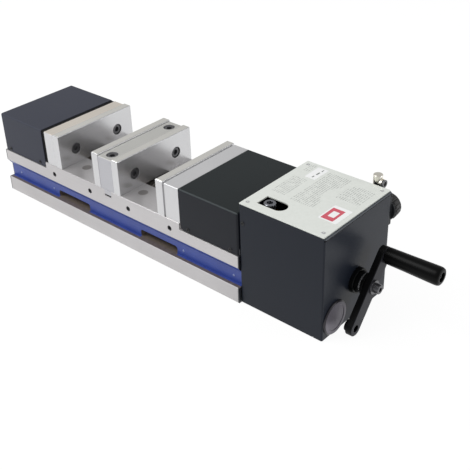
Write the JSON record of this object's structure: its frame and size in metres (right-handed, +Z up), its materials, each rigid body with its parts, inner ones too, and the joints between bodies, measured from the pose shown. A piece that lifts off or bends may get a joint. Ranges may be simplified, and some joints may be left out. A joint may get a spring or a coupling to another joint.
{
  "type": "pneumatic machine vise",
  "caption": "Double-station machine vise: fixed centre jaw, moving outer jaws under chip covers, air drive box with hand crank.",
  "frame": {"origin": "middle of the bed's underside, below the fixed centre jaw", "axes": "+X along the bed toward the drive box, +Y toward the air inlet, +Z up"},
  "size_m": [0.747, 0.1735, 0.1659],
  "materials": {
    "bed_casting": "painted web, ground rails",
    "steel_ground": "ground",
    "black_steel": "black oxide",
    "cover_paint": "satin",
    "wiper_rubber": "matte",
    "box_casting": "painted dark",
    "top_plate": "satin, anodised",
    "bronze": "plain",
    "alloy": "plain",
    "plug_alloy": "satin",
    "grip_plastic": "glossy",
    "knob_plastic": "matte",
    "inlet_nickel": "nickel plated"
  },
  "bodies": {
    "bed_and_drive_box": {"bed": "bed_casting", "left_cover": "cover_paint", "right_cover": "cover_paint", "left_wiper": "wiper_rubber", "right_wiper": "wiper_rubber", "centre_jaw_body": "steel_ground", "centre_plate_left": "steel_ground", "centre_plate_right": "steel_ground", "centre_left_screw_front": "black_steel", "centre_left_screw_rear": "black_steel", "centre_right_screw_front": "black_steel", "centre_right_screw_rear": "black_steel", "hold_down_screw_front": "black_steel", "hold_down_screw_rear": "black_steel", "bed_plug_left_front": "steel_ground", "bed_plug_left_rear": "steel_ground", "bed_plug_right_front": "steel_ground", "bed_plug_right_rear": "steel_ground", "steady_block": "steel_ground", "end_bearing": "steel_ground", "mounting_plate": "steel_ground", "thrust_bearing": "steel_ground", "drive_housing": "box_casting", "top_plate": "top_plate", "selector_guide": "alloy", "shaft_bush": "bronze", "end_plug": "plug_alloy", "regulator_body": "alloy"},
    "left_jaw": {"left_jaw_body": "steel_ground", "left_nut": "bronze", "left_jaw_plate": "steel_ground", "left_keeper_front": "steel_ground", "left_keeper_rear": "steel_ground", "left_plate_screw_front": "black_steel", "left_plate_screw_rear": "black_steel"},
    "right_jaw": {"right_jaw_body": "steel_ground", "right_nut": "bronze", "right_jaw_plate": "steel_ground", "right_keeper_front": "steel_ground", "right_keeper_rear": "steel_ground", "right_plate_screw_front": "black_steel", "right_plate_screw_rear": "black_steel"},
    "crank": {"spindle": "steel_ground", "drive_shaft": "steel_ground", "crank_hub": "black_steel", "hub_ring": "steel_ground", "crank_arm": "black_steel", "crank_washer": "steel_ground", "crank_bolt": "steel_ground", "grip_bolt": "steel_ground", "grip_washer": "steel_ground"},
    "grip": {"grip": "grip_plastic"},
    "air_piston": {"air_piston": "alloy", "piston_seal": "wiper_rubber"},
    "selector": {"selector_shoe": "bronze", "selector_knob": "steel_ground"},
    "regulator_knob": {"regulator_knob": "knob_plastic"},
    "inlet_fitting": {"inlet_fitting": "inlet_nickel"},
    "release_ring": {"release_ring": "knob_plastic"}
  },
  "joints": [
    {"name": "crank_turn", "type": "hinge", "parent": "bed_and_drive_box", "child": "crank", "pos_m": [0.41, 0, 0.0575], "axis": [1, 0, 0], "range_deg": [0, 2772]},
    {"name": "left_jaw_slide", "type": "slide", "parent": "bed_and_drive_box", "child": "left_jaw", "axis": [1, 0, 0], "range_m": [0, 0.077]},
    {"name": "right_jaw_slide", "type": "slide", "parent": "bed_and_drive_box", "child": "right_jaw", "axis": [-1, 0, 0], "range_m": [0, 0.077]},
    {"name": "grip_spin", "type": "hinge", "parent": "crank", "child": "grip", "pos_m": [0.45, 0.0278, 0.09135], "axis": [1, 0, 0], "continuous": true},
    {"name": "air_stroke", "type": "slide", "parent": "bed_and_drive_box", "child": "air_piston", "axis": [-1, 0, 0], "range_m": [0, 0.005]},
    {"name": "selector_slide", "type": "slide", "parent": "bed_and_drive_box", "child": "selector", "axis": [1, 0, 0], "range_m": [-0.003, 0.015]},
    {"name": "regulator_turn", "type": "hinge", "parent": "bed_and_drive_box", "child": "regulator_knob", "pos_m": [0.3745, 0.085, 0.1205], "axis": [0, 1, 0], "range_deg": [-720, 720]},
    {"name": "inlet_swivel", "type": "hinge", "parent": "bed_and_drive_box", "child": "inlet_fitting", "pos_m": [0.361, 0.083, 0.145], "axis": [0, 0, 1], "range_deg": [-20, 200]},
    {"name": "release_push", "type": "slide", "parent": "inlet_fitting", "child": "release_ring", "axis": [-1, 0, 0], "range_m": [0, 0.0015]}
  ],
  "couplings": [
    {"joint": "crank_turn", "follows": "left_jaw_slide", "rad_per_m": 628.32},
    {"joint": "right_jaw_slide", "follows": "left_jaw_slide", "ratio": 1}
  ]
}
